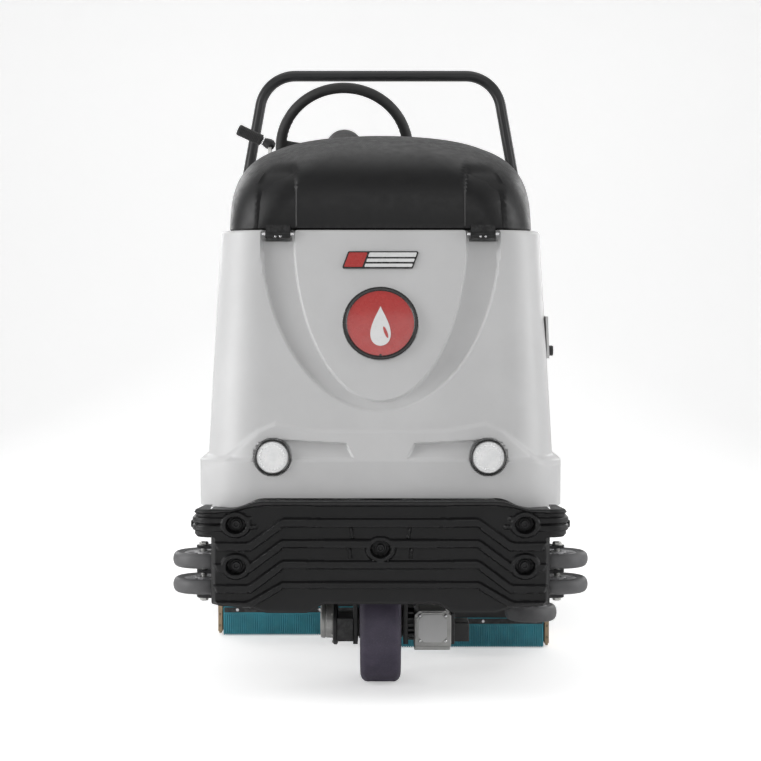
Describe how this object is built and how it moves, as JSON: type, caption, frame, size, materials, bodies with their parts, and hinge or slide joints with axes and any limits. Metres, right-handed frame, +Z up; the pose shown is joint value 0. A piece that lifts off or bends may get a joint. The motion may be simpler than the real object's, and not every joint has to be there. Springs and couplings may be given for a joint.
{
  "type": "ride on scrubber",
  "caption": "Ride on floor scrubber: grey nose tank with hinged black lid, ribbed bumper with wall rollers, steered drive wheel, staggered disc brushes, seat, guard hoop, curved squeegee.",
  "frame": {"origin": "on the floor below the centre of the whole machine's box", "axes": "+Z up, -Y towards the nose, +X towards the operator's left hand"},
  "size_m": [0.9804, 1.6499, 1.453],
  "materials": {
    "grey_shell": "rotomoulded satin",
    "black_shell": "fine moulded grain",
    "black_steel": "powder coat",
    "grey_steel": "powder coat",
    "zinc": "bright zinc",
    "chrome": "polished",
    "cast_alloy": "cast",
    "lamp_ring": "gloss",
    "lamp_lens": "faceted clear",
    "red_badge": "gloss enamel",
    "light_panel": "satin",
    "seal_rubber": "matt",
    "console_plastic": "fine grain",
    "panel_film": "satin film",
    "yellow_plastic": "satin",
    "red_plastic": "gloss",
    "grip_rubber": "soft grained",
    "motor_black": "satin paint",
    "drive_tread": "smooth polyurethane",
    "wheel_core": "painted",
    "mat_rubber": "ribbed",
    "battery_case": "satin",
    "seat_vinyl": "grained vinyl",
    "grey_tyre": "matt",
    "blue_skirt": "ribbed",
    "brush_fibre": "bristle",
    "tan_rubber": "matt",
    "hose_black": "corrugated"
  },
  "bodies": {
    "chassis": {"chassis_frame": "black_steel", "front_bumper": "black_shell", "bumper_fixings": "zinc", "solution_tank": "grey_shell", "filter_basket": "panel_film", "headlamp_rings": "lamp_ring", "headlamp_lenses": "lamp_lens", "badges": "red_badge", "side_panel": "light_panel", "hinge_pins": "chrome", "console": "console_plastic", "control_panel": "panel_film", "steering_shroud": "console_plastic", "steering_unit": "grey_steel", "platform": "black_steel", "foot_mat": "mat_rubber", "rear_body": "black_shell", "batteries": "battery_case", "vacuum_motor": "grey_steel", "guard_hoop": "black_steel", "rear_axle": "zinc", "deck_actuator": "grey_steel", "suction_hose": "hose_black"},
    "lid": {"lid": "black_shell", "lid_seal": "seal_rubber"},
    "panel_knob": {"panel_knob": "console_plastic"},
    "key": {"key_switch": "chrome"},
    "dial": {"speed_dial": "panel_film"},
    "horn": {"horn_button": "yellow_plastic"},
    "stop": {"emergency_stop": "red_plastic"},
    "steering_wheel": {"steering_wheel": "grip_rubber"},
    "drive_unit": {"drive_fork": "black_steel", "drive_gearbox": "cast_alloy", "drive_motor": "motor_black", "terminal_box": "cast_alloy"},
    "drive_wheel": {"drive_hub": "wheel_core", "drive_tyre": "drive_tread"},
    "accelerator": {"accelerator": "mat_rubber"},
    "brake": {"brake_pedal": "mat_rubber"},
    "recovery_cap": {"recovery_cap": "console_plastic"},
    "seat": {"seat_frame": "black_steel", "seat_cushion": "seat_vinyl", "seat_back": "seat_vinyl"},
    "wheel_left": {"rear_wheel_left": "grey_tyre"},
    "wheel_right": {"rear_wheel_right": "grey_tyre"},
    "roller_hl": {"roller_high_left": "grey_tyre"},
    "roller_ll": {"roller_low_left": "grey_tyre"},
    "roller_hr": {"roller_high_right": "grey_tyre"},
    "roller_lr": {"roller_low_right": "grey_tyre"},
    "deck": {"brush_deck": "black_steel", "brush_skirts": "blue_skirt", "brush_motors": "zinc", "actuator_rod": "chrome"},
    "deck_roller": {"deck_roller": "grey_tyre"},
    "brush_l": {"brush_left": "brush_fibre"},
    "brush_r": {"brush_right": "brush_fibre"},
    "squeegee_arm": {"squeegee_arm": "zinc"},
    "squeegee": {"squeegee_head": "cast_alloy", "squeegee_blades": "tan_rubber"},
    "lever": {"squeegee_lever": "zinc"}
  },
  "joints": [
    {"name": "lid_hinge", "type": "hinge", "parent": "chassis", "child": "lid", "pos_m": [0, -0.65, 0.94], "axis": [1, 0, 0], "range_deg": [0, 80]},
    {"name": "knob_turn", "type": "hinge", "parent": "chassis", "child": "panel_knob", "pos_m": [0.358, -0.6, 0.698], "axis": [1, 0, 0], "range_deg": [0, 90]},
    {"name": "key_turn", "type": "hinge", "parent": "chassis", "child": "key", "pos_m": [0.06, -0.12345, 1.11876], "axis": [0, 0.6247, 0.7809], "range_deg": [-90, 0]},
    {"name": "dial_turn", "type": "hinge", "parent": "chassis", "child": "dial", "pos_m": [0.112, -0.12345, 1.11876], "axis": [0, 0.6247, 0.7809], "range_deg": [-135, 135]},
    {"name": "horn_press", "type": "slide", "parent": "chassis", "child": "horn", "axis": [0, 0.6247, 0.7809], "range_m": [-0.0025, 0], "stiffness_N_per_m": 300, "springref_m": 0.002},
    {"name": "stop_press", "type": "slide", "parent": "chassis", "child": "stop", "axis": [0, 0.6247, 0.7809], "range_m": [-0.005, 0]},
    {"name": "drive_steer", "type": "hinge", "parent": "chassis", "child": "drive_unit", "pos_m": [0, -0.6, 0.3], "axis": [0, 0, 1], "range_deg": [-75, 75]},
    {"name": "steering_turn", "type": "hinge", "parent": "chassis", "child": "steering_wheel", "pos_m": [-0.091, 0.15, 1.19], "axis": [0, 0.891, 0.454], "range_deg": [-256, 256]},
    {"name": "drive_wheel_spin", "type": "hinge", "parent": "drive_unit", "child": "drive_wheel", "pos_m": [0, -0.6, 0.125], "axis": [1, 0, 0], "continuous": true},
    {"name": "accelerator_press", "type": "hinge", "parent": "chassis", "child": "accelerator", "pos_m": [-0.2, 0.04, 0.32], "axis": [1, 0, 0], "range_deg": [0, 15], "stiffness_Nm_per_rad": 8, "springref_deg": -8.59},
    {"name": "brake_press", "type": "hinge", "parent": "chassis", "child": "brake", "pos_m": [0.12, 0.04, 0.32], "axis": [1, 0, 0], "range_deg": [0, 15], "stiffness_Nm_per_rad": 8, "springref_deg": -8.59},
    {"name": "cap_turn", "type": "hinge", "parent": "chassis", "child": "recovery_cap", "pos_m": [0.25, 0.616, 0.73], "axis": [0, 0, 1], "range_deg": [0, 60]},
    {"name": "seat_slide", "type": "slide", "parent": "chassis", "child": "seat", "axis": [0, 1, 0], "range_m": [-0.08, 0]},
    {"name": "wheel_left_spin", "type": "hinge", "parent": "chassis", "child": "wheel_left", "pos_m": [0.335, 0.47, 0.13], "axis": [1, 0, 0], "continuous": true},
    {"name": "wheel_right_spin", "type": "hinge", "parent": "chassis", "child": "wheel_right", "pos_m": [-0.335, 0.47, 0.13], "axis": [1, 0, 0], "continuous": true},
    {"name": "roller_high_left_spin", "type": "hinge", "parent": "chassis", "child": "roller_hl", "pos_m": [0.36, -0.725, 0.278], "axis": [0, 0, 1], "continuous": true},
    {"name": "roller_low_left_spin", "type": "hinge", "parent": "chassis", "child": "roller_ll", "pos_m": [0.36, -0.725, 0.226], "axis": [0, 0, 1], "continuous": true},
    {"name": "roller_high_right_spin", "type": "hinge", "parent": "chassis", "child": "roller_hr", "pos_m": [-0.36, -0.725, 0.278], "axis": [0, 0, 1], "continuous": true},
    {"name": "roller_low_right_spin", "type": "hinge", "parent": "chassis", "child": "roller_lr", "pos_m": [-0.36, -0.725, 0.226], "axis": [0, 0, 1], "continuous": true},
    {"name": "deck_lift", "type": "slide", "parent": "chassis", "child": "deck", "axis": [0, 0, 1], "range_m": [0, 0.05]},
    {"name": "deck_roller_spin", "type": "hinge", "parent": "deck", "child": "deck_roller", "pos_m": [0.342, -0.312, 0.097], "axis": [0, 0, 1], "continuous": true},
    {"name": "brush_left_spin", "type": "hinge", "parent": "deck", "child": "brush_l", "pos_m": [0.185, -0.025, 0.05], "axis": [0, 0, 1], "continuous": true},
    {"name": "brush_right_spin", "type": "hinge", "parent": "deck", "child": "brush_r", "pos_m": [-0.185, 0.145, 0.05], "axis": [0, 0, 1], "continuous": true},
    {"name": "squeegee_lift", "type": "hinge", "parent": "chassis", "child": "squeegee_arm", "pos_m": [0, 0.56, 0.2], "axis": [1, 0, 0], "range_deg": [0, 14], "deforming": ["suction_hose"]},
    {"name": "squeegee_swivel", "type": "hinge", "parent": "squeegee_arm", "child": "squeegee", "pos_m": [0, 0.79, 0.14], "axis": [0, 0, 1], "range_deg": [-8, 8]},
    {"name": "lever_swing", "type": "hinge", "parent": "chassis", "child": "lever", "pos_m": [-0.265, -0.06, 1], "axis": [1, 0, 0], "range_deg": [-40, 0]}
  ],
  "couplings": [
    {"joint": "steering_turn", "follows": "drive_steer", "ratio": 3.4},
    {"joint": "lever_swing", "follows": "squeegee_lift", "ratio": -2.8}
  ]
}
